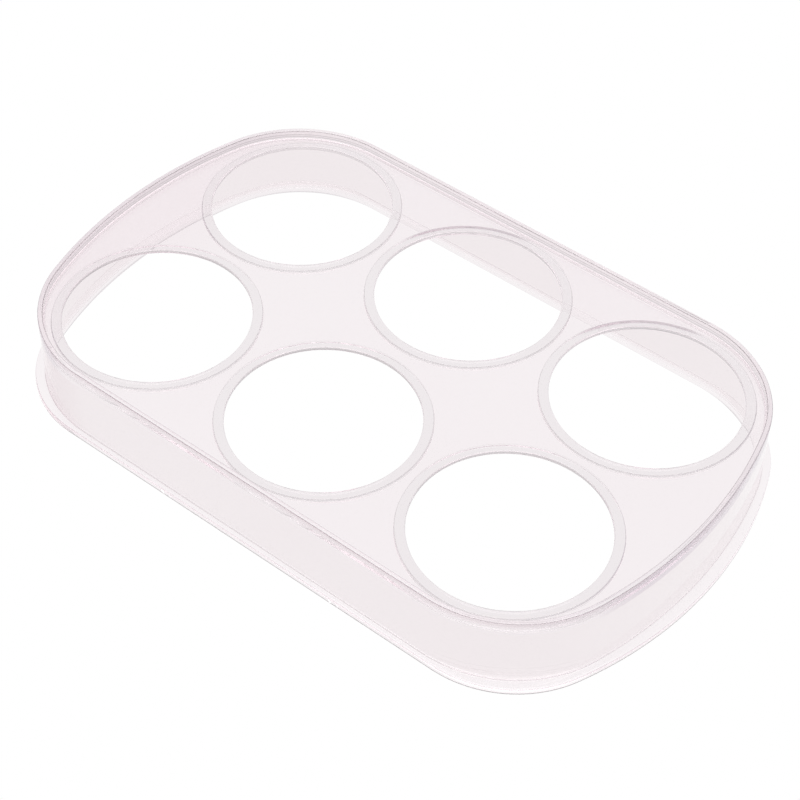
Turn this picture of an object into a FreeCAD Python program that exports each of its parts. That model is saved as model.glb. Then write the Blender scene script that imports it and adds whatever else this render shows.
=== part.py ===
"""Egg holder: a clear moulded tray that stands open side down and holds six eggs in raised rings.

Lengths are in millimetres. The origin is the middle of the underside, +X runs along the tray's
length, +Y towards its back and +Z up.
"""
import FreeCAD, Part
import os
import Sketcher
from math import atan2, pi, sqrt

Vector = FreeCAD.Vector

# Driving dimensions of the tray
SIZES = {
    "hole_diameter": 42.0,
    "ring_width": 2.3,
    "ring_rise": 0.4,
    "ring_edge_radius": 0.4,
    "ring_gap": 2.1,
    "middle_step": 0.5,
    "side_margin": 1.55,
    "end_margin": 6.5,
    "corner_margin": 4.5,
    "end_radius": 104.0,
    "wall_thickness": 1.2,
    "rim_edge_radius": 0.35,
    "tray_height": 19.2,
    "deck_drop": 2.2,
    "deck_thickness": 1.0,
    "foot_side_reach": 1.2,
    "foot_end_reach": 2.5,
    "foot_corner_drop": 2.5,
    "foot_end_radius": 92.0,
    "foot_height": 1.5,
    "foot_edge_radius": 0.5,
}

doc = FreeCAD.newDocument("EggHolder")
sheet = doc.addObject("Spreadsheet::Sheet", "Sizes")
for row, (alias, value) in enumerate(SIZES.items(), start=1):
    sheet.set(f"A{row}", alias)
    sheet.set(f"B{row}", str(value))
    sheet.setAlias(f"B{row}", alias)
doc.recompute()


class Measure:
    """A length worked out from the sheet: the formula that ties it there, and its value."""

    def __init__(self, formula, value):
        self.formula = formula
        self.value = value

    def __add__(self, other):
        return Measure(f"({self.formula} + {other.formula})", self.value + other.value)

    def __sub__(self, other):
        return Measure(f"({self.formula} - {other.formula})", self.value - other.value)

    def __rmul__(self, factor):
        return Measure(f"({factor} * {self.formula})", factor * self.value)


def size(alias):
    """A driving dimension of the sheet."""
    return Measure(f"Sizes.{alias}", SIZES[alias])


FLOOR = Measure("0", 0.0)
DECK_TOP = size("tray_height") - size("deck_drop")
DECK_UNDERSIDE = DECK_TOP - size("deck_thickness")

# The egg places: three columns along X and two rows along Y, with the middle column a step further out
HOLE_RADIUS = 0.5 * size("hole_diameter")
RING_RADIUS = HOLE_RADIUS + size("ring_width")
PLACE_PITCH = 2 * RING_RADIUS + size("ring_gap")
PLACES = [
    ("egg_ring_back_left", -1, 1),
    ("egg_ring_back_middle", 0, 1),
    ("egg_ring_back_right", 1, 1),
    ("egg_ring_front_left", -1, -1),
    ("egg_ring_front_middle", 0, -1),
    ("egg_ring_front_right", 1, -1),
]


class Outline:
    """A plan outline of the tray: straight long sides, round corners and bowed ends."""

    def __init__(self, half_length, half_width, corner, end):
        self.half_length = half_length
        self.half_width = half_width
        self.corner = corner
        self.end = end

    def inside_by(self, distance):
        """The outline that lies evenly inside this one."""
        lengths = (self.half_length, self.half_width, self.corner, self.end)
        return Outline(*(length - distance for length in lengths))


# The plan outlines, round the egg places
RIM = Outline(
    PLACE_PITCH + RING_RADIUS + size("end_margin") + size("wall_thickness"),
    0.5 * PLACE_PITCH + RING_RADIUS + size("side_margin") + size("wall_thickness"),
    RING_RADIUS + size("corner_margin") + size("wall_thickness"),
    size("end_radius"),
)
INNER_FACE = RIM.inside_by(size("wall_thickness"))
FOOT = Outline(
    RIM.half_length + size("foot_end_reach"),
    RIM.half_width + size("foot_side_reach"),
    RIM.corner - size("foot_corner_drop"),
    size("foot_end_radius"),
)


def new_body(name, base_height):
    """A body that stands at a height worked out from the sheet."""
    body = doc.addObject("PartDesign::Body", name)
    body.Label = name
    body.setExpression("Placement.Base.z", base_height.formula)
    return body


def new_sketch(body, name):
    """A sketch on the body's own horizontal plane."""
    plane = next(item for item in body.Origin.OriginFeatures if item.Role == "XY_Plane")
    sketch = body.newObject("Sketcher::SketchObject", name)
    sketch.AttachmentSupport = [(plane, "")]
    sketch.MapMode = "FlatFace"
    return sketch


def drive(sketch, label, measure, *terms):
    """Adds a dimension to a sketch and ties it to the sheet."""
    index = sketch.addConstraint(Sketcher.Constraint(*terms, measure.value))
    sketch.renameConstraint(index, label)
    sketch.setExpression(f"Constraints.{label}", measure.formula)


def arc(centre_x, centre_y, radius, start, end):
    """An arc of a circle that turns anticlockwise from one angle to another."""
    circle = Part.Circle(Vector(centre_x, centre_y, 0), Vector(0, 0, 1), radius)
    return Part.ArcOfCircle(circle, start, end)


def add_outline(sketch, label, outline):
    """Adds a plan outline of the tray to a sketch and ties its four lengths to the sheet."""
    side_y = outline.half_width.value
    corner = outline.corner.value
    end = outline.end.value
    end_x = outline.half_length.value - end
    corner_y = side_y - corner
    corner_x = end_x + sqrt((end - corner) ** 2 - corner_y ** 2)
    turn = atan2(corner_y, corner_x - end_x)
    first = sketch.GeometryCount
    sketch.addGeometry([
        arc(end_x, 0, end, -turn, turn),
        arc(corner_x, corner_y, corner, turn, pi / 2),
        Part.LineSegment(Vector(corner_x, side_y, 0), Vector(-corner_x, side_y, 0)),
        arc(-corner_x, corner_y, corner, pi / 2, pi - turn),
        arc(-end_x, 0, end, pi - turn, pi + turn),
        arc(-corner_x, -corner_y, corner, pi + turn, 3 * pi / 2),
        Part.LineSegment(Vector(-corner_x, -side_y, 0), Vector(corner_x, -side_y, 0)),
        arc(corner_x, -corner_y, corner, -pi / 2, -turn),
    ], False)
    loop = list(range(first, first + 8))
    right, back_right, back, back_left, left, front_left, front, front_right = loop
    apex = sketch.addGeometry(Part.Point(Vector(outline.half_length.value, 0, 0)), True)
    for here, following in zip(loop, loop[1:] + loop[:1]):
        sketch.addConstraint(Sketcher.Constraint("Tangent", here, 2, following, 1))
    for other in (back_left, front_left, front_right):
        sketch.addConstraint(Sketcher.Constraint("Equal", back_right, other))
    sketch.addConstraint(Sketcher.Constraint("Equal", right, left))
    sketch.addConstraint(Sketcher.Constraint("Symmetric", back, 1, back, 2, -2))
    sketch.addConstraint(Sketcher.Constraint("Symmetric", back, 1, front, 2, -1))
    sketch.addConstraint(Sketcher.Constraint("PointOnObject", right, 3, -1))
    sketch.addConstraint(Sketcher.Constraint("PointOnObject", apex, 1, -1))
    sketch.addConstraint(Sketcher.Constraint("PointOnObject", apex, 1, right))
    drive(sketch, f"{label}_half_length", outline.half_length, "DistanceX", -1, 1, apex, 1)
    drive(sketch, f"{label}_half_width", outline.half_width, "DistanceY", -1, 1, back, 1)
    drive(sketch, f"{label}_corner", outline.corner, "Radius", back_right)
    drive(sketch, f"{label}_end", outline.end, "Radius", right)


def pad(body, sketch, height):
    """Raises a sketch to a height worked out from the sheet."""
    feature = body.newObject("PartDesign::Pad", f"{body.Name}_pad")
    feature.Profile = sketch
    feature.setExpression("Length", height.formula)
    sketch.Visibility = False
    doc.recompute()
    return feature


def round_edges(body, base, radius, edges):
    """Rounds edges of a feature by a radius of the sheet."""
    numbered = enumerate(base.Shape.Edges, start=1)
    names = [f"Edge{i}" for i, found in numbered if any(found.isSame(edge) for edge in edges)]
    feature = body.newObject("PartDesign::Fillet", f"{body.Name}_rounding")
    feature.Base = (base, names)
    feature.setExpression("Radius", radius.formula)
    doc.recompute()


def top_face(feature):
    """The uppermost face of a feature."""
    return max(feature.Shape.Faces, key=lambda face: face.CenterOfMass.z)


def lower_inner_edge(feature):
    """The edge of the lowest face that runs round the hole in it."""
    lowest = min(feature.Shape.Faces, key=lambda face: face.CenterOfMass.z)
    return min(lowest.Edges, key=lambda edge: edge.Length)


def make_band(name, base_height, height, outer, inner):
    """A band that runs all round the tray's plan, between two outlines."""
    body = new_body(name, base_height)
    sketch = new_sketch(body, f"{name}_plan")
    add_outline(sketch, "outer", outer)
    add_outline(sketch, "inner", inner)
    return body, pad(body, sketch, height)


def make_skirt_wall():
    """The wall from the floor up to the level of the deck's top face."""
    body, _ = make_band("skirt_wall", FLOOR, DECK_TOP, RIM, INNER_FACE)
    return body


def make_raised_rim():
    """The part of the wall that stands above the deck, with its two top edges rounded."""
    body, band = make_band("raised_rim", DECK_TOP, size("deck_drop"), RIM, INNER_FACE)
    round_edges(body, band, size("rim_edge_radius"), top_face(band).Edges)
    return body


def make_foot_flange():
    """The flange round the bottom of the wall that the tray stands on, wider at the two ends."""
    body, band = make_band("foot_flange", FLOOR, size("foot_height"), FOOT, RIM)
    round_edges(body, band, size("foot_edge_radius"), top_face(band).OuterWire.Edges)
    return body


def egg_place(column, row):
    """The middle of an egg place along X and along Y."""
    out_y = 0.5 * PLACE_PITCH
    if column == 0:
        out_y += size("middle_step")
    return column * PLACE_PITCH, row * out_y


def add_hole(sketch, name, column, row):
    """Adds one egg place's round hole to the deck's plan, as wide as the ring that fills it."""
    place_x, place_y = egg_place(column, row)
    centre = Vector(place_x.value, place_y.value, 0)
    circle = Part.Circle(centre, Vector(0, 0, 1), RING_RADIUS.value)
    hole = sketch.addGeometry(circle, False)
    if column == 0:
        sketch.addConstraint(Sketcher.Constraint("PointOnObject", hole, 3, -2))
    else:
        drive(sketch, f"{name}_x", place_x, "DistanceX", -1, 1, hole, 3)
    drive(sketch, f"{name}_y", place_y, "DistanceY", -1, 1, hole, 3)
    drive(sketch, f"{name}_radius", RING_RADIUS, "Radius", hole)


def make_top_deck():
    """The thin flat plate inside the wall, with a round hole at each egg place."""
    body = new_body("top_deck", DECK_UNDERSIDE)
    sketch = new_sketch(body, "top_deck_plan")
    add_outline(sketch, "edge", INNER_FACE)
    for name, column, row in PLACES:
        add_hole(sketch, name, column, row)
    pad(body, sketch, size("deck_thickness"))
    return body


def make_egg_ring(name, column, row):
    """The ring of one egg place: a lip as thick as the deck that stands a little above it."""
    body = new_body(name, DECK_UNDERSIDE + size("ring_rise"))
    place_x, place_y = egg_place(column, row)
    body.setExpression("Placement.Base.x", place_x.formula)
    body.setExpression("Placement.Base.y", place_y.formula)
    sketch = new_sketch(body, f"{name}_plan")
    for label, radius in (("bore", HOLE_RADIUS), ("outside", RING_RADIUS)):
        outline = Part.Circle(Vector(0, 0, 0), Vector(0, 0, 1), radius.value)
        circle = sketch.addGeometry(outline, False)
        sketch.addConstraint(Sketcher.Constraint("Coincident", circle, 3, -1, 1))
        drive(sketch, label, radius, "Radius", circle)
    lip = pad(body, sketch, size("deck_thickness"))
    round_edges(body, lip, size("ring_edge_radius"), top_face(lip).Edges + [lower_inner_edge(lip)])
    return body


bodies = [make_top_deck(), make_skirt_wall(), make_raised_rim(), make_foot_flange()]
bodies += [make_egg_ring(name, column, row) for name, column, row in PLACES]
doc.recompute()

for item in doc.Objects:
    if "Invalid" in item.State or "Error" in item.State:
        raise RuntimeError(f"{item.Name} could not be worked out: {item.State}")
for body in bodies:
    if body.Shape.isNull() or not body.Shape.isValid() or len(body.Shape.Solids) != 1:
        raise RuntimeError(f"{body.Label} is not one sound solid")

os.makedirs("parts", exist_ok=True)
for body in bodies:
    body.Shape.exportStep(f"parts/{body.Label}.step")
    box = body.Shape.BoundBox
    print(f"{body.Label}: {body.Shape.Volume:.1f} mm3, z {box.ZMin:.2f} to {box.ZMax:.2f}")
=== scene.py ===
"""Looks of a clear moulded egg tray that stands open side down on a white studio floor.

Lengths are in metres. The origin is the middle of the tray's underside, +X runs along its length,
+Y towards its back and +Z up.
"""
import logging
import math
from dataclasses import dataclass
from enum import Enum

import bmesh
import bpy
from mathutils import Matrix, Vector


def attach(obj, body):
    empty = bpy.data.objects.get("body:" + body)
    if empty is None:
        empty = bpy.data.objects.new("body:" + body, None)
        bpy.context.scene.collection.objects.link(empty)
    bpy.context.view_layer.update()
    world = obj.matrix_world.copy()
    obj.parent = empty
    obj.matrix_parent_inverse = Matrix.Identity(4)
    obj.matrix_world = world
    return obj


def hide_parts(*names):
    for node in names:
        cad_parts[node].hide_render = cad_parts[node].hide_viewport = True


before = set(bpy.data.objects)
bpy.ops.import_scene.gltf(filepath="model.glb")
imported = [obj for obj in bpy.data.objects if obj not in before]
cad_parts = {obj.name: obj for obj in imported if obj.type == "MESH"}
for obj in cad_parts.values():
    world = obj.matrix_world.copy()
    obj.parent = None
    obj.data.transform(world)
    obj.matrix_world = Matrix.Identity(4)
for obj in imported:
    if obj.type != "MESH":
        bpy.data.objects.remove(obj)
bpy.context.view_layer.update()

log = logging.getLogger("egg_tray")
MM = 0.001
ROUNDING = "rounding"
SPREAD = "spread"
SHARE = "share"
LINE = "line"
STEEP = "steep"
ONE_OR_MORE = 0.5
TWO_OR_MORE = 1.5
Colour = tuple[float, float, float]
Point = tuple[float, float, float]
Span = tuple[float, float]


@dataclass(frozen=True)
class Corner:
    """A corner of a cross-section: its place outwards and upwards and how it is shaped and drawn.

    The rounding is a radius. The share is how much of the path's spread moves the corner. The line is how
    dark the painted shade line along its rounding is, and steep is how dark the painted shade on the
    upright faces next to it is.
    """

    out: float
    up: float
    rounding: float = 0.0
    share: float = 0.0
    line: float = 0.0
    steep: float = 0.0


@dataclass(frozen=True)
class TrayPlan:
    """A plan outline of the tray, with straight sides, round corners and bowed ends."""

    half_length: float
    half_width: float
    corner_radius: float
    end_radius: float
    step: float = 0.8 * MM
    side_step: float = 3.2 * MM

    @property
    def end_x(self) -> float:
        """Place along X of the middle of the right end's arc."""
        return self.half_length - self.end_radius

    @property
    def corner_y(self) -> float:
        """Place along Y of the middle of the corner's arc."""
        return self.half_width - self.corner_radius

    @property
    def corner_x(self) -> float:
        """Place along X of the middle of the corner's arc."""
        return self.end_x + math.sqrt((self.end_radius - self.corner_radius) ** 2 - self.corner_y ** 2)

    @property
    def turn(self) -> float:
        """Angle at which the end's arc meets the corner's arc."""
        return math.atan2(self.corner_y, self.corner_x - self.end_x)

    def outline(self) -> list[tuple[float, float]]:
        """The outline's points.

        Returns:
            The points, anticlockwise from the right end.
        """
        quarter = self._arc(self.end_x, 0.0, self.end_radius, 0.0, self.turn)
        quarter += self._arc(self.corner_x, self.corner_y, self.corner_radius, self.turn, math.pi / 2)
        sides = max(1, round(self.corner_x / self.side_step))
        quarter += [(self.corner_x * (1 - i / sides), self.half_width) for i in range(sides)]
        half = quarter + [(-x, y) for x, y in [(0.0, self.half_width)] + quarter[:0:-1]]
        return half + [(-x, -y) for x, y in half]

    def outwards(self, x: float, y: float) -> tuple[float, float]:
        """The direction that leads straight out of the outline, from a point on or near it.

        Args:
            x: The point's place along X.
            y: The point's place along Y.

        Returns:
            The direction, of length one.
        """
        side_x, side_y = abs(x), abs(y)
        if math.atan2(side_y, side_x - self.end_x) < self.turn:
            away = (side_x - self.end_x, side_y)
        elif side_x > self.corner_x:
            away = (side_x - self.corner_x, side_y - self.corner_y)
        else:
            away = (0.0, 1.0)
        length = math.hypot(*away)
        return math.copysign(away[0] / length, x), math.copysign(away[1] / length, y)

    def beyond(self, x: float, y: float) -> float:
        """How far a point near the outline lies outside it.

        Args:
            x: The point's place along X.
            y: The point's place along Y.

        Returns:
            The distance, below zero for a point inside.
        """
        side_x, side_y = abs(x), abs(y)
        if math.atan2(side_y, side_x - self.end_x) < self.turn:
            return math.hypot(side_x - self.end_x, side_y) - self.end_radius
        if side_x > self.corner_x:
            return math.hypot(side_x - self.corner_x, side_y - self.corner_y) - self.corner_radius
        return side_y - self.half_width

    def _arc(self, x: float, y: float, radius: float, start: float,
             end: float) -> list[tuple[float, float]]:
        """Points of an arc, without its last one.

        Args:
            x: Middle of the arc along X.
            y: Middle of the arc along Y.
            radius: Radius of the arc.
            start: Angle at which it starts.
            end: Angle at which it ends.

        Returns:
            The points, a step apart or less.
        """
        count = max(2, math.ceil(radius * (end - start) / self.step))
        angles = (start + (end - start) * i / count for i in range(count))
        return [(x + radius * math.cos(a), y + radius * math.sin(a)) for a in angles]


@dataclass(frozen=True)
class TopDeck:
    """The thin flat plate that carries the egg rings."""

    top: float = 17.0 * MM
    thickness: float = 1.0 * MM

    @property
    def underside(self) -> float:
        """Height of the deck's lower face."""
        return self.top - self.thickness


@dataclass(frozen=True)
class TrayWall:
    """The wall all round, with the raised rim at its top and the foot flange at its bottom."""

    top: float = 19.2 * MM
    thickness: float = 1.2 * MM
    rim_edge: float = 0.35 * MM
    foot_reach: float = 1.2 * MM
    foot_height: float = 1.5 * MM
    foot_edge: float = 0.5 * MM
    floor_edge: float = 0.12 * MM
    inner_fillet: float = 0.4 * MM
    # Strengths of the painted shade lines along the rim's and foot's roundings.
    inner_line: float = 1.05
    outer_line: float = 0.92
    foot_line: float = 0.2

    def section(self, deck: TopDeck) -> list[Corner]:
        """Cross-section of the wall: deck's top face, rim, foot and deck's underside.

        Args:
            deck: The deck that the wall meets.

        Returns:
            The corners, with distances outwards from the rim's outer outline.
        """
        inner = -self.thickness
        start = inner - 2 * self.inner_fillet
        return [
            Corner(start, deck.top),
            Corner(inner, deck.top, self.inner_fillet),
            Corner(inner, self.top, self.rim_edge, line=self.inner_line),
            Corner(0.0, self.top, self.rim_edge, line=self.outer_line),
            Corner(0.0, self.foot_height, self.inner_fillet, line=self.foot_line),
            Corner(self.foot_reach, self.foot_height, self.foot_edge, share=1.0),
            Corner(self.foot_reach, 0.0, self.floor_edge, share=1.0),
            Corner(inner, 0.0, self.floor_edge),
            Corner(inner, deck.underside, self.inner_fillet),
            Corner(start, deck.underside),
        ]


@dataclass(frozen=True)
class EggRings:
    """The raised rings that line the deck's six round holes and carry the eggs."""

    hole_radius: float = 21.0 * MM
    width: float = 2.3 * MM
    rise: float = 0.4 * MM
    inner_edge: float = 0.4 * MM
    outer_edge: float = 0.26 * MM
    fillet: float = 0.1 * MM
    # Strengths of the painted shade lines on the ring's roundings and of the painted shade on the hole
    # wall.
    fillet_line: float = 0.8
    outer_line: float = 0.5
    hole_shade: float = 0.6
    pitch: float = 48.7 * MM
    middle_step: float = 0.5 * MM
    segments: int = 180

    def section(self, deck: TopDeck) -> list[Corner]:
        """Cross-section of a ring from the deck's top face, over the ring, to the deck's underside.

        Args:
            deck: The deck that the ring stands on.

        Returns:
            The corners, with distances outwards from the hole's wall.
        """
        crest = deck.top + self.rise
        recess = crest - deck.thickness
        return [
            Corner(self.width + 2 * self.fillet, deck.top),
            Corner(self.width, deck.top, self.fillet, line=self.fillet_line),
            Corner(self.width, crest, self.outer_edge, line=self.outer_line),
            Corner(0.0, crest, self.inner_edge, steep=self.hole_shade),
            Corner(0.0, recess, self.inner_edge, steep=self.hole_shade),
            Corner(self.width, recess, self.fillet),
            Corner(self.width, deck.underside, self.fillet),
            Corner(self.width + 2 * self.fillet, deck.underside),
        ]


class Axis(Enum):
    """Parts of a vector that a node tree splits off."""

    X = "X"
    Y = "Y"
    Z = "Z"


class NodeTreeMaker:
    """Adds nodes to a tree and links them by the names of their sockets."""

    NUMBERED = "in_"
    MIXED_COLOURS = (6, 7)
    MIX_RESULT = 2

    def __init__(self, tree: bpy.types.NodeTree) -> None:
        """Keeps the tree.

        Args:
            tree: The tree that the nodes go into.
        """
        self.tree = tree

    def add(self, kind: str, settings: dict | None = None, **inputs: object) -> bpy.types.Node:
        """Adds a node, sets it up and links or fills its inputs.

        Args:
            kind: Type of the node.
            settings: Properties of the node itself.
            **inputs: Values or output sockets, by the input's name with _ for a space, or by in_
                and the input's number.

        Returns:
            The new node.
        """
        node = self.tree.nodes.new(kind)
        for name, value in (settings or {}).items():
            setattr(node, name, value)
        for name, value in inputs.items():
            self.feed(node.inputs[self._key(name)], value)
        return node

    def feed(self, socket: bpy.types.NodeSocket, value: object) -> None:
        """Links an output to a socket, or gives the socket a value.

        Args:
            socket: The input.
            value: An output socket or a plain value.
        """
        if isinstance(value, bpy.types.NodeSocket):
            self.tree.links.new(value, socket)
        else:
            socket.default_value = value

    def math(self, operation: str, first: object, second: object = 0.0) -> bpy.types.NodeSocket:
        """Adds a calculation with one or two numbers.

        Args:
            operation: What is done with them.
            first: First number or socket.
            second: Second number or socket.

        Returns:
            The output.
        """
        node = self.add("ShaderNodeMath", {"operation": operation})
        self.feed(node.inputs[0], first)
        self.feed(node.inputs[1], second)
        return node.outputs[0]

    def product(self, *factors: object) -> bpy.types.NodeSocket:
        """Adds the product of two or more numbers.

        Args:
            *factors: Numbers or sockets.

        Returns:
            The output.
        """
        total, *others = factors
        for factor in others:
            total = self.math("MULTIPLY", total, factor)
        return total

    def remainder(self, value: object) -> bpy.types.NodeSocket:
        """Adds what a number leaves of 1."""
        return self.math("SUBTRACT", 1.0, value)

    def dot(self, first: object, second: object) -> bpy.types.NodeSocket:
        """Adds the dot product of two vectors."""
        node = self.add("ShaderNodeVectorMath", {"operation": "DOT_PRODUCT"}, in_0=first, in_1=second)
        return node.outputs["Value"]

    def mix(self, factor: object, first: object, second: object,
            blend: str = "MIX") -> bpy.types.NodeSocket:
        """Adds a mix of two colours.

        Args:
            factor: How much of the second colour goes in.
            first: First colour, as three numbers or a socket.
            second: Second colour, as three numbers or a socket.
            blend: How the colours are blended.

        Returns:
            The mixed colour.
        """
        node = self.add("ShaderNodeMix", {"data_type": "RGBA", "blend_type": blend}, Factor=factor)
        for number, colour in zip(self.MIXED_COLOURS, (first, second)):
            value = colour if isinstance(colour, bpy.types.NodeSocket) else (*colour, 1.0)
            self.feed(node.inputs[number], value)
        return node.outputs[self.MIX_RESULT]

    def band(self, value: object, start: float, end: float,
             curve: str = "SMOOTHSTEP") -> bpy.types.NodeSocket:
        """Adds a step that goes from 0 to 1 between two values.

        Args:
            value: The value that is looked at.
            start: Where the step starts.
            end: Where the step ends.
            curve: Kind of the step's curve.

        Returns:
            The step.
        """
        return self.add("ShaderNodeMapRange", {"interpolation_type": curve}, Value=value, From_Min=start,
                        From_Max=end).outputs[0]

    def _key(self, name: str) -> int | str:
        """The key under which a node has one of its inputs.

        Args:
            name: Name of the input with _ for a space, or in_ and its number.

        Returns:
            The input's name or number.
        """
        if name.startswith(self.NUMBERED):
            return int(name.removeprefix(self.NUMBERED))
        return name.replace("_", " ")


class TrayShellTree:
    """Node tree that sweeps the wall, repeats the rings and closes the deck between them to one shell."""

    COLUMNS, ROWS = 3, 2
    SIZES = {
        "Hole Radius": "NodeSocketFloat",
        "Place Pitch": "NodeSocketFloat",
        "Middle Step": "NodeSocketFloat",
        "Deck Top": "NodeSocketFloat",
        "Deck Underside": "NodeSocketFloat",
        "Ring Segments": "NodeSocketInt",
        "Rounding Steps": "NodeSocketInt",
        "Weld Distance": "NodeSocketFloat",
        "Wall Section": "NodeSocketObject",
        "Ring Section": "NodeSocketObject",
        "Material": "NodeSocketMaterial",
    }

    def __init__(self) -> None:
        """Builds the tree."""
        self.tree = bpy.data.node_groups.new("tray_shell", "GeometryNodeTree")
        face = self.tree.interface
        face.new_socket("Geometry", in_out="INPUT", socket_type="NodeSocketGeometry")
        self.identifiers = {
            name: face.new_socket(name, in_out="INPUT", socket_type=kind).identifier
            for name, kind in self.SIZES.items()
        }
        face.new_socket("Geometry", in_out="OUTPUT", socket_type="NodeSocketGeometry")
        self.make = NodeTreeMaker(self.tree)
        self.given = self.make.add("NodeGroupInput").outputs
        self._build()

    def _build(self) -> None:
        """Adds the tree's nodes."""
        make, given = self.make, self.given
        path = make.add("GeometryNodeMeshToCurve", Mesh=given["Geometry"])
        wall = self._spread(self._sweep(path.outputs["Curve"], given["Wall Section"]))
        circle = make.add("GeometryNodeCurvePrimitiveCircle", Resolution=given["Ring Segments"],
                          Radius=given["Hole Radius"])
        ring = self._sweep(circle.outputs["Curve"], given["Ring Section"])
        rings = make.add("GeometryNodeInstanceOnPoints", Points=self._places(), Instance=ring)
        sides = make.add("GeometryNodeJoinGeometry")
        for part in (rings.outputs["Instances"], wall):
            self.tree.links.new(part, sides.inputs[0])
        open_shell = make.add("GeometryNodeRealizeInstances", Geometry=sides.outputs[0]).outputs[0]
        closed = make.add("GeometryNodeJoinGeometry")
        underside, top = (self._plate(open_shell, level) for level in ("Deck Underside", "Deck Top"))
        for part in (underside, top, open_shell):
            self.tree.links.new(part, closed.inputs[0])
        welded = make.add("GeometryNodeMergeByDistance", Geometry=closed.outputs[0],
                          Distance=given["Weld Distance"])
        smooth = make.add("GeometryNodeSetShadeSmooth", Geometry=welded.outputs[0])
        real = make.add("GeometryNodeRealizeInstances", Geometry=smooth.outputs[0])
        dressed = make.add("GeometryNodeSetMaterial", Geometry=real.outputs[0], Material=given["Material"])
        make.add("NodeGroupOutput", Geometry=dressed.outputs[0])

    def _sweep(self, path: bpy.types.NodeSocket, section: bpy.types.NodeSocket) -> bpy.types.NodeSocket:
        """Sweeps a cross-section along a path, with the section's corners rounded.

        Args:
            path: The curve to follow.
            section: The object that holds the section's corners.

        Returns:
            The swept surface.
        """
        make = self.make
        corners = make.add("GeometryNodeObjectInfo", Object=section)
        line = make.add("GeometryNodeMeshToCurve", Mesh=corners.outputs["Geometry"])
        radius = make.add("GeometryNodeInputNamedAttribute", {"data_type": "FLOAT"}, Name=ROUNDING)
        rounded = make.add("GeometryNodeFilletCurve", {"mode": "POLY"}, Curve=line.outputs["Curve"],
                           Count=self.given["Rounding Steps"], Radius=radius.outputs["Attribute"])
        swept = make.add("GeometryNodeCurveToMesh", Curve=path, Profile_Curve=rounded.outputs["Curve"])
        return swept.outputs["Mesh"]

    def _spread(self, surface: bpy.types.NodeSocket) -> bpy.types.NodeSocket:
        """Moves each point of a swept surface by its path point's spread times its corner's share.

        Args:
            surface: The swept surface.

        Returns:
            The surface, widened where the spread says so.
        """
        make = self.make
        spread = make.add("GeometryNodeInputNamedAttribute", {"data_type": "FLOAT_VECTOR"}, Name=SPREAD)
        share = make.add("GeometryNodeInputNamedAttribute", {"data_type": "FLOAT"}, Name=SHARE)
        offset = make.add("ShaderNodeVectorMath", {"operation": "SCALE"}, in_0=spread.outputs["Attribute"],
                          Scale=share.outputs["Attribute"])
        return make.add("GeometryNodeSetPosition", Geometry=surface, Offset=offset.outputs[0]).outputs[0]

    def _places(self) -> bpy.types.NodeSocket:
        """Adds the six egg places: a grid of three by two, with the middle column a step further out.

        Returns:
            The places.
        """
        make, given = self.make, self.given
        pitch = given["Place Pitch"]
        grid = make.add("GeometryNodeMeshGrid", Size_X=make.product(pitch, self.COLUMNS - 1),
                        Size_Y=make.product(pitch, self.ROWS - 1), Vertices_X=self.COLUMNS,
                        Vertices_Y=self.ROWS)
        place = make.add("ShaderNodeSeparateXYZ", Vector=make.add("GeometryNodeInputPosition").outputs[0])
        off_middle = make.math("ABSOLUTE", place.outputs[Axis.X.value])
        in_middle = make.math("LESS_THAN", off_middle, make.math("DIVIDE", pitch, 2.0))
        outwards = make.math("SIGN", place.outputs[Axis.Y.value])
        step = make.product(outwards, in_middle, given["Middle Step"])
        offset = make.add("ShaderNodeCombineXYZ", Y=step)
        return make.add("GeometryNodeSetPosition", Geometry=grid.outputs["Mesh"],
                        Offset=offset.outputs[0]).outputs[0]

    def _plate(self, shell: bpy.types.NodeSocket, level: str) -> bpy.types.NodeSocket:
        """Fills the flat face that the shell leaves open at one level.

        Args:
            shell: The wall and the rings.
            level: Name of the input that holds the face's height.

        Returns:
            The flat face.
        """
        make = self.make
        height = self.given[level]
        place = make.add("ShaderNodeSeparateXYZ", Vector=make.add("GeometryNodeInputPosition").outputs[0])
        off_level = make.math("ABSOLUTE", make.math("SUBTRACT", place.outputs[Axis.Z.value], height))
        at_level = make.math("LESS_THAN", off_level, self.given["Weld Distance"])
        faces = make.add("GeometryNodeInputMeshEdgeNeighbors").outputs["Face Count"]
        on_edge = make.math("LESS_THAN", faces, TWO_OR_MORE)
        loops = make.add("GeometryNodeMeshToCurve", Mesh=shell, Selection=make.product(at_level, on_edge))
        filled = make.add("GeometryNodeFillCurve", Curve=loops.outputs["Curve"])
        lift = make.add("ShaderNodeCombineXYZ", Z=height)
        return make.add("GeometryNodeTransform", Geometry=filled.outputs["Mesh"],
                        Translation=lift.outputs[0]).outputs[0]


@dataclass(frozen=True)
class Tone:
    """A colour of the plastic at one height: its tint, darkened by painted shade or lightened by painted
    light at some heights.
    """

    height: float
    colour: Colour


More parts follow.
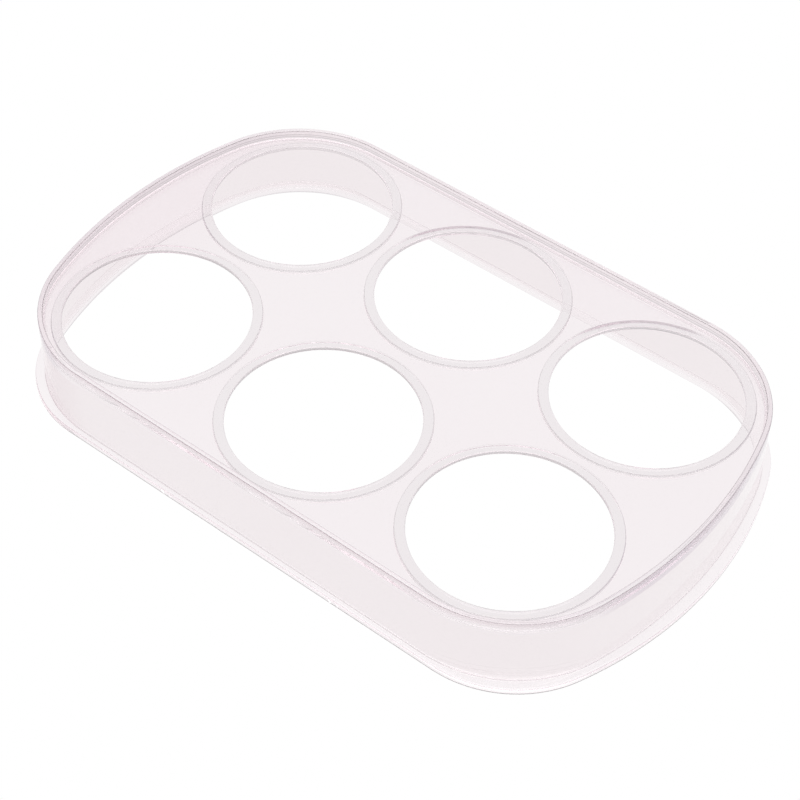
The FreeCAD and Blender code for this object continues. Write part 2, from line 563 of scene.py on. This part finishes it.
@dataclass(frozen=True)
class SheetTones:
    """How much of each colour one sheet of the plastic lets through, by height: the plastic's own pink
    tint, darkened by painted shade in the wall and ring tones, with painted dark and light lines along the
    rim and painted light on its flat top.
    """

    # Foot and deck are the plastic's plain tint; the wall and ring tones are that tint darkened by painted
    # shade.
    foot: Colour = (0.955, 0.925, 0.935)
    wall: Colour = (0.88, 0.828, 0.84)
    deck: Colour = (0.92, 0.876, 0.89)
    ring: Colour = (0.865, 0.83, 0.842)
    # Painted shade: a dark line where the rim's inner face meets the deck.
    painted_junction_shade: Colour = (0.50, 0.46, 0.475)
    # Painted light and painted shade: pale, dim and dark lines along the rim.
    pale_painted_light: Colour = (0.93, 0.875, 0.89)
    dim_painted_shade: Colour = (0.83, 0.77, 0.79)
    dark_painted_shade: Colour = (0.75, 0.68, 0.705)
    # Painted light: the rim's flat top is made lighter.
    land_painted_light: Colour = (0.97, 0.945, 0.955)
    foot_top: Span = (1.455 * MM, 1.59 * MM)
    drawn: Span = (15.0 * MM, 20.0 * MM)
    wall_top: float = 15.9 * MM
    deck_underside: Span = (15.97 * MM, 16.03 * MM)
    hole_edge: Span = (16.08 * MM, 16.93 * MM)
    deck_top: Span = (16.97 * MM, 17.03 * MM)
    ring_crest: Span = (17.08 * MM, 17.43 * MM)
    inner_junction: Span = (17.48 * MM, 17.7 * MM)
    inner_dim: Span = (17.78 * MM, 18.8 * MM)
    inner_pale: float = 18.3 * MM
    outer_wall: float = 17.8 * MM
    outer_dim: float = 18.15 * MM
    outer_dark: Span = (18.6 * MM, 18.85 * MM)
    rim_edge: float = 19.05 * MM
    rim_top: Span = (19.14 * MM, 19.3 * MM)

    def inside(self) -> list[Tone]:
        """Tones of the faces that look towards the tray's middle, from the wall up to the rim's top.

        Returns:
            The tones, from the lowest up.
        """
        low, high = self.inner_dim
        streaks = [Tone(low, self.dim_painted_shade), Tone(self.inner_pale, self.pale_painted_light),
                   Tone(high, self.dim_painted_shade)]
        return self._shared() + self._over(self.inner_junction, self.painted_junction_shade) + streaks + self._top()

    def outside(self) -> list[Tone]:
        """Tones of the faces that look outwards, from the wall up to the rim's top.

        Returns:
            The tones, from the lowest up.
        """
        rim = [Tone(self.outer_wall, self.wall), Tone(self.outer_dim, self.dim_painted_shade)]
        return self._shared() + rim + self._over(self.outer_dark, self.dark_painted_shade) + self._top()

    def _shared(self) -> list[Tone]:
        """Tones of the wall, the deck and the rings.

        Returns:
            The tones, from the lowest up.
        """
        return ([Tone(self.wall_top, self.wall)] + self._over(self.deck_underside, self.deck)
                + self._over(self.hole_edge, self.ring) + self._over(self.deck_top, self.deck)
                + self._over(self.ring_crest, self.ring))

    def _top(self) -> list[Tone]:
        """Tones of the rim's top."""
        return [Tone(self.rim_edge, self.dim_painted_shade)] + self._over(self.rim_top, self.land_painted_light)

    @staticmethod
    def _over(heights: Span, colour: Colour) -> list[Tone]:
        """One colour, kept between two heights."""
        return [Tone(height, colour) for height in heights]


@dataclass(frozen=True)
class Shade:
    """A painted shade over a part of the tray: its tint, and how far along X and at what height it sets
    in.
    """

    tint: Colour
    along: Span
    height: Span


class PlasticSurface:
    """Sockets that tell where a place on the plastic is, how it faces and when it is met."""

    def __init__(self, make: NodeTreeMaker) -> None:
        """Adds the nodes.

        Args:
            make: Maker of the material's nodes.
        """
        coordinates = make.add("ShaderNodeTexCoord").outputs
        path = make.add("ShaderNodeLightPath").outputs
        self.place, self.normal = coordinates["Object"], coordinates["Normal"]
        self.along, self.back, self.height = make.add("ShaderNodeSeparateXYZ", Vector=self.place).outputs
        up = make.add("ShaderNodeSeparateXYZ", Vector=self.normal).outputs[Axis.Z.value]
        self.level = make.product(up, up)
        self.upright = make.remainder(self.level)
        in_plan = make.add("ShaderNodeVectorMath", {"operation": "MULTIPLY"}, in_0=self.normal,
                           in_1=(1.0, 1.0, 0.0)).outputs[0]
        self.outside = make.math("GREATER_THAN", make.dot(in_plan, self.place), 0.0)
        self.line, self.steep = (make.add("ShaderNodeAttribute", {"attribute_name": name}).outputs["Fac"]
                                 for name in (LINE, STEEP))
        sheets = path["Transmission Depth"]
        self.first_face = make.math("LESS_THAN", sheets, ONE_OR_MORE)
        self.beyond_sheet = make.math("GREATER_THAN", sheets, TWO_OR_MORE)
        self.steps = path["Ray Depth"]


@dataclass(frozen=True)
class RingArcShade:
    """A painted shade: the darker arc on the back left of the crests of the middle and right rings of the
    back row.
    """

    tint: Colour = (0.57, 0.51, 0.55)
    pitch: float = 48.7 * MM
    aim: tuple[float, float] = (-0.62, 0.78)
    reach: Span = (17.5 * MM, 20.5 * MM)
    along: Span = (-25.0 * MM, -23.0 * MM)
    crest: Span = (17.2 * MM, 17.3 * MM)
    below: float = 17.6 * MM
    steepness: Span = (0.2, 0.4)

    def mask(self, make: NodeTreeMaker, at: PlasticSurface) -> bpy.types.NodeSocket:
        """Adds the nodes that find the arc, on every ring that lies far enough to the right.

        Args:
            make: Maker of the material's nodes.
            at: The place on the plastic.

        Returns:
            1 in the arc and 0 elsewhere.
        """
        half = self.pitch / 2
        wrapped = make.add("ShaderNodeMath", {"operation": "WRAP"}, in_0=at.along, in_1=half, in_2=-half)
        sideways = wrapped.outputs[0]
        backwards = make.math("SUBTRACT", at.back, half)
        reach = make.math("ADD", make.product(sideways, self.aim[0]), make.product(backwards, self.aim[1]))
        crest = make.product(at.level, make.band(at.height, *self.crest),
                             make.remainder(make.band(at.steep, *self.steepness)))
        low = make.math("LESS_THAN", at.height, self.below)
        return make.product(make.band(reach, *self.reach), make.band(at.along, *self.along), crest, low)


@dataclass(frozen=True)
class ClearPlastic:
    """Finish of transparent, faintly pink moulded plastic, with painted shade, painted light and a painted
    glow laid into its colour.
    """

    name: str = "clear_pink_plastic"
    refraction: float = 1.57
    polish: float = 0.005
    absorption: Colour = (4.0, 6.5, 5.5)
    density_margin: float = 1.6
    tones: SheetTones = SheetTones()
    cloud_tone: Colour = (0.985, 0.972, 0.978)
    cloud_scale: float = 28.0
    cloud_detail: float = 1.0
    # Painted shade: the rim's ends, the left end, and the outer wall faces turned to the side near both
    # ends are darkened.
    ends: Shade = Shade((0.90, 0.90, 0.91), (60.0 * MM, 76.0 * MM), (17.45 * MM, 17.5 * MM))
    left: Shade = Shade((0.985, 0.965, 0.972), (45.0 * MM, 72.0 * MM), (15.8 * MM, 15.9 * MM))
    side_shade: Shade = Shade((0.70, 0.66, 0.72), (50.0 * MM, 59.0 * MM), (15.2 * MM, 15.6 * MM))
    left_wall_shade: Shade = Shade((0.86, 0.79, 0.81), (44.0 * MM, 58.0 * MM), (15.2 * MM, 15.6 * MM))
    # Direction of the faces that get the painted side shade.
    side_aim: Point = (0.78, 0.62, 0.0)
    side_turn: Span = (0.52, 0.66)
    painted_line_shade: Colour = (0.24, 0.225, 0.23)
    line_gain: float = 4.0
    line_sharpness: float = 3.0
    back_row: Span = (0.0, 6.0 * MM)
    back_row_fade: float = 0.5
    arc: RingArcShade = RingArcShade()
    painted_contact_shadow: Colour = (0.27, 0.265, 0.265)
    contact_shadow_height: Span = (0.315 * MM, 0.45 * MM)
    deep_tone: Colour = (0.996, 0.989, 0.992)
    trapped_light: Colour = (0.32, 0.3135, 0.3168)
    trapped_steps: float = 17.5
    wave_scale: float = 70.0
    wave_detail: float = 2.0
    wave_height: float = 0.004 * MM

    def material(self) -> bpy.types.Material:
        """Builds the material.

        Returns:
            The finished material.
        """
        material = bpy.data.materials.new(self.name)
        material.use_nodes = True
        tree = material.node_tree
        tree.nodes.clear()
        make = NodeTreeMaker(tree)
        at = PlasticSurface(make)
        flow = make.add("ShaderNodeTexNoise", Vector=at.place, Scale=self.wave_scale,
                        Detail=self.wave_detail)
        bump = make.add("ShaderNodeBump", Height=flow.outputs[0], Distance=self.wave_height)
        # Painted glow: rays still inside the plastic after many bounces are given a faint light.
        trapped = make.math("GREATER_THAN", at.steps, self.trapped_steps)
        shader = make.add("ShaderNodeBsdfPrincipled",
                          Base_Color=make.mix(at.beyond_sheet, self._sheet_tone(make, at), self.deep_tone),
                          Roughness=self.polish, IOR=self.refraction, Transmission_Weight=1.0,
                          Normal=bump.outputs[0], Emission_Strength=1.0,
                          Emission_Color=make.mix(trapped, (0.0, 0.0, 0.0), self.trapped_light))
        density = max(self.absorption) * self.density_margin
        kept = tuple(1 - part / density for part in self.absorption) + (1.0,)
        depth = make.add("ShaderNodeVolumeAbsorption", Color=kept, Density=density)
        make.add("ShaderNodeOutputMaterial", Surface=shader.outputs[0], Volume=depth.outputs[0])
        return material

    def _sheet_tone(self, make: NodeTreeMaker, at: PlasticSurface) -> bpy.types.NodeSocket:
        """How much of each colour the first sheet lets through that a line of sight crosses, with painted
        shade, painted shade lines, painted light and a painted contact shadow laid over it.

        Args:
            make: Maker of the material's nodes.
            at: The place on the plastic.

        Returns:
            The colour.
        """
        tone = make.mix(at.outside, self._by_height(make, at.height, self.tones.inside()),
                        self._by_height(make, at.height, self.tones.outside()))
        tone = make.mix(make.band(at.height, *self.tones.foot_top), self.tones.foot, tone)
        clouds = make.add("ShaderNodeTexNoise", Vector=at.place, Scale=self.cloud_scale,
                          Detail=self.cloud_detail)
        tone = make.mix(clouds.outputs[0], tone, self.cloud_tone, "MULTIPLY")
        tone = self._shade_ends(make, at, tone)
        back_row = make.band(at.back, *self.back_row)
        # Painted shade on the back rings' crests.
        tone = make.mix(make.product(self.arc.mask(make, at), back_row), tone, self.arc.tint, "MULTIPLY")
        # Painted shade: dark lines along the rounded edges and on the hole walls.
        tone = make.mix(self._lines(make, at, back_row), tone, self.painted_line_shade, "MULTIPLY")
        # Painted shadow: a dark line at the bottom of the outer wall where it meets the floor.
        low = make.remainder(make.band(at.height, *self.contact_shadow_height))
        return make.mix(make.product(at.outside, at.upright, low), tone, self.painted_contact_shadow, "MULTIPLY")

    def _shade_ends(self, make: NodeTreeMaker, at: PlasticSurface,
                    tone: bpy.types.NodeSocket) -> bpy.types.NodeSocket:
        """Lays the painted shade near the tray's ends over a colour.

        Args:
            make: Maker of the material's nodes.
            at: The place on the plastic.
            tone: The colour so far.

        Returns:
            The colour with the painted shade.
        """
        off_middle = make.math("ABSOLUTE", at.along)
        leftwards = make.product(at.along, -1.0)
        # Faces turned left-forwards at the left end and right-backwards at the right end get painted
        # shade.
        turned = make.product(make.dot(at.normal, self.side_aim), make.math("SIGN", at.along))
        on_side = make.product(at.outside, at.first_face, make.band(turned, *self.side_turn))
        upper = make.band(at.height, *self.side_shade.height)
        lower = make.remainder(make.band(at.height, *self.left_wall_shade.height))
        for shade, distance, where in (
            (self.ends, off_middle, make.band(at.height, *self.ends.height)),
            (self.left, leftwards, make.band(at.height, *self.left.height)),
            (self.side_shade, off_middle, make.product(on_side, upper)),
            (self.left_wall_shade, leftwards, make.product(on_side, lower)),
        ):
            mask = make.product(make.band(distance, *shade.along), where)
            tone = make.mix(mask, tone, shade.tint, "MULTIPLY")
        return tone

    def _lines(self, make: NodeTreeMaker, at: PlasticSurface,
               back_row: bpy.types.NodeSocket) -> bpy.types.NodeSocket:
        """How dark the painted shade lines along the bent edges and the painted shade of the hole edges
        are.

        Args:
            make: Maker of the material's nodes.
            at: The place on the plastic.
            back_row: 1 in the back row of rings and 0 in the front row.

        Returns:
            The darkness.
        """
        turn = make.math("POWER", make.product(at.level, at.upright, self.line_gain), self.line_sharpness)
        strength = make.remainder(make.product(back_row, self.back_row_fade))
        drawn = make.math("ADD", make.product(turn, at.line),
                          make.product(at.upright, at.upright, strength, at.steep))
        return make.product(drawn, at.first_face)

    def _by_height(self, make: NodeTreeMaker, height: bpy.types.NodeSocket,
                   tones: list[Tone]) -> bpy.types.NodeSocket:
        """A colour that changes with the height.

        Args:
            make: Maker of the material's nodes.
            height: Height of the place.
            tones: Tones from the lowest up.

        Returns:
            The colour.
        """
        lowest, highest = self.tones.drawn
        node = make.add("ShaderNodeValToRGB", Fac=make.band(height, lowest, highest, "LINEAR"))
        stops = node.color_ramp.elements
        stops.remove(stops[1])
        for i, tone in enumerate(tones):
            position = (tone.height - lowest) / (highest - lowest)
            stop = stops.new(position) if i else stops[0]
            stop.position = position
            stop.color = (*tone.colour, 1.0)
        return node.outputs[0]


@dataclass(frozen=True)
class MouldedTray:
    """The tray: one seamless clear moulding of deck, rings, wall, rim and foot."""

    rim: TrayPlan = TrayPlan(79.7 * MM, 50.4 * MM, 29.0 * MM, 104.0 * MM)
    foot: TrayPlan = TrayPlan(82.2 * MM, 51.6 * MM, 26.5 * MM, 92.0 * MM)
    deck: TopDeck = TopDeck()
    wall: TrayWall = TrayWall()
    rings: EggRings = EggRings()
    finish: ClearPlastic = ClearPlastic()
    rounding_steps: int = 6
    reach_rounds: int = 6
    weld_distance: float = 0.002 * MM
    face_weight: int = 100
    name: str = "egg_tray"

    def build(self) -> bpy.types.Object:
        """Builds the tray as one closed mesh.

        Returns:
            The finished piece.
        """
        path = self._wall_path()
        wall = self._section("wall_section", self.wall.section(self.deck))
        ring = self._section("ring_section", self.rings.section(self.deck))
        shell = TrayShellTree()
        modifier = path.modifiers.new("shell", "NODES")
        modifier.node_group = shell.tree
        for name, value in {
            "Hole Radius": self.rings.hole_radius,
            "Place Pitch": self.rings.pitch,
            "Middle Step": self.rings.middle_step,
            "Deck Top": self.deck.top,
            "Deck Underside": self.deck.underside,
            "Ring Segments": self.rings.segments,
            "Rounding Steps": self.rounding_steps,
            "Weld Distance": self.weld_distance,
            "Wall Section": wall,
            "Ring Section": ring,
            "Material": self.finish.material(),
        }.items():
            modifier[shell.identifiers[name]] = value
        tray = self._plain(path)
        for helper in (path, wall, ring):
            bpy.data.objects.remove(helper)
        self._close(tray)
        return tray

    def _wall_path(self) -> bpy.types.Object:
        """The rim's outer outline, with how far the foot reaches out further than its section says.

        Returns:
            The object that holds the outline.
        """
        points = self.rim.outline()
        path = self._line("wall_path", [(x, y, 0.0) for x, y in points], closed=True)
        spread = path.data.attributes.new(SPREAD, "FLOAT_VECTOR", "POINT")
        for place, (x, y) in zip(spread.data, points):
            out_x, out_y = self.rim.outwards(x, y)
            reach = self.wall.foot_reach
            for _ in range(self.reach_rounds):
                reach -= self.foot.beyond(x + reach * out_x, y + reach * out_y)
            extra = reach - self.wall.foot_reach
            place.vector = (out_x * extra, out_y * extra, 0.0)
        return path

    def _section(self, name: str, corners: list[Corner]) -> bpy.types.Object:
        """An object that holds a cross-section, drawn outwards and downwards, with each corner's rounding.

        Args:
            name: Name of the object.
            corners: Corners of the section, in order.

        Returns:
            The object.
        """
        piece = self._line(name, [(c.out, -c.up, 0.0) for c in corners], closed=False)
        for attribute in (ROUNDING, SHARE, LINE, STEEP):
            values = piece.data.attributes.new(attribute, "FLOAT", "POINT")
            values.data.foreach_set("value", [getattr(c, attribute) for c in corners])
        return piece

    @staticmethod
    def _line(name: str, points: list[Point], closed: bool) -> bpy.types.Object:
        """An object whose mesh is a chain of edges.

        Args:
            name: Name of the object.
            points: Points of the chain, in order.
            closed: Whether the last point is joined to the first.

        Returns:
            The object.
        """
        count = len(points)
        edges = [(i, (i + 1) % count) for i in range(count if closed else count - 1)]
        mesh = bpy.data.meshes.new(name)
        mesh.from_pydata(points, edges, [])
        piece = bpy.data.objects.new(name, mesh)
        bpy.context.scene.collection.objects.link(piece)
        return piece

    def _plain(self, source: bpy.types.Object) -> bpy.types.Object:
        """A new object with the plain mesh that a source's modifiers make.

        Args:
            source: Object with the modifiers.

        Returns:
            The new object.
        """
        graph = bpy.context.evaluated_depsgraph_get()
        mesh = bpy.data.meshes.new_from_object(source.evaluated_get(graph), preserve_all_data_layers=True,
                                               depsgraph=graph)
        source.modifiers.clear()
        piece = bpy.data.objects.new(self.name, mesh)
        bpy.context.scene.collection.objects.link(piece)
        return piece

    def _close(self, piece: bpy.types.Object) -> None:
        """Points the shell's faces outwards, evens its shading and logs whether it is closed.

        Args:
            piece: The tray.
        """
        shell = bmesh.new()
        shell.from_mesh(piece.data)
        open_edges = sum(1 for edge in shell.edges if len(edge.link_faces) != 2)
        bmesh.ops.recalc_face_normals(shell, faces=shell.faces)
        log.info("%s: %d faces, %d edges that are not between two faces, %.1f mm3", piece.name,
                 len(shell.faces), open_edges, shell.calc_volume(signed=True) / MM ** 3)
        shell.to_mesh(piece.data)
        shell.free()
        even = piece.modifiers.new("even_shading", "WEIGHTED_NORMAL")
        even.weight = self.face_weight
        even.keep_sharp = False


@dataclass(frozen=True)
class Studio:
    """White floor, soft light from all sides and the camera."""

    floor_size: float = 6.0
    floor_light: float = 1.0
    floor_drop: float = 0.02 * MM
    soft_box_aim: Point = (0.1, -0.13, 1.0)
    soft_box_radius: float = 32.0
    soft_box_edge: float = 3.0
    soft_box_light: float = 2.2
    horizon: Colour = (0.6, 0.6, 0.61)
    zenith: Colour = (1.0, 1.0, 1.0)
    zenith_height: float = 0.7
    camera_place: Point = (0.201684, -0.254862, 0.336242)
    camera_right: Point = (0.776181, 0.63035, 0.014212)
    camera_up: Point = (-0.459055, 0.549519, 0.698067)
    lens: float = 94.377
    film: float = 36.0
    nearest: float = 0.01
    bounces: int = 20

    def build(self) -> None:
        """Builds the whole studio."""
        self._floor()
        self._surroundings()
        self._camera()
        scene = bpy.context.scene
        scene.view_settings.view_transform = "Standard"
        scene.view_settings.look = "None"
        scene.cycles.max_bounces = self.bounces
        scene.cycles.transmission_bounces = self.bounces
        scene.cycles.glossy_bounces = self.bounces

    def _floor(self) -> None:
        """A large plain white floor, bright as in an overexposed studio picture."""
        half = self.floor_size / 2
        corners = [(-half, -half, 0.0), (half, -half, 0.0), (half, half, 0.0), (-half, half, 0.0)]
        mesh = bpy.data.meshes.new("studio_floor")
        mesh.from_pydata(corners, [], [(0, 1, 2, 3)])
        floor = bpy.data.objects.new("studio_floor", mesh)
        floor.location.z = -self.floor_drop
        bpy.context.scene.collection.objects.link(floor)
        material = bpy.data.materials.new("white_floor")
        material.use_nodes = True
        material.node_tree.nodes.clear()
        make = NodeTreeMaker(material.node_tree)
        glow = make.add("ShaderNodeEmission", Color=(1.0, 1.0, 1.0, 1.0), Strength=self.floor_light)
        below = make.add("ShaderNodeNewGeometry").outputs["Backfacing"]
        clear = make.add("ShaderNodeBsdfTransparent")
        either = make.add("ShaderNodeMixShader", in_0=below, in_1=glow.outputs[0], in_2=clear.outputs[0])
        make.add("ShaderNodeOutputMaterial", Surface=either.outputs[0])
        mesh.materials.append(material)

    def _surroundings(self) -> None:
        """Soft light all round, dimmer towards the horizon."""
        world = bpy.data.worlds.new("studio_light")
        bpy.context.scene.world = world
        world.use_nodes = True
        world.node_tree.nodes.clear()
        make = NodeTreeMaker(world.node_tree)
        towards = make.add("ShaderNodeTexCoord").outputs["Generated"]
        height = make.add("ShaderNodeSeparateXYZ", Vector=towards).outputs[Axis.Z.value]
        ramp = make.add("ShaderNodeValToRGB", Fac=height)
        stops = ((0.0, self.horizon), (self.zenith_height, self.zenith))
        for stop, (position, tone) in zip(ramp.color_ramp.elements, stops):
            stop.position = position
            stop.color = (*tone, 1.0)
        aim = make.dot(towards, Vector(self.soft_box_aim).normalized())
        outer, inner = (math.cos(math.radians(self.soft_box_radius + edge))
                        for edge in (self.soft_box_edge, -self.soft_box_edge))
        inside = make.band(aim, outer, inner)
        box = (self.soft_box_light,) * 3
        colour = make.mix(inside, ramp.outputs[0], box)
        light = make.add("ShaderNodeBackground", Color=colour, Strength=1.0)
        make.add("ShaderNodeOutputWorld", Surface=light.outputs[0])

    def _camera(self) -> None:
        """The camera at the photograph's angle."""
        data = bpy.data.cameras.new("camera")
        data.sensor_width = self.film
        data.lens = self.lens
        data.clip_start = self.nearest
        camera = bpy.data.objects.new("camera", data)
        right, up = Vector(self.camera_right), Vector(self.camera_up)
        turn = Matrix((right, up, right.cross(up))).transposed()
        camera.matrix_world = Matrix.Translation(self.camera_place) @ turn.to_4x4()
        bpy.context.scene.collection.objects.link(camera)
        bpy.context.scene.camera = camera


def main() -> None:
    """Builds the tray and the studio round it."""
    logging.basicConfig(level=logging.INFO, format="%(message)s")
    tray = MouldedTray().build()
    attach(tray, "root")
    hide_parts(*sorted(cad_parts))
    Studio().build()
    log.info("tray and studio are in place")


if __name__ == "__main__":
    main()
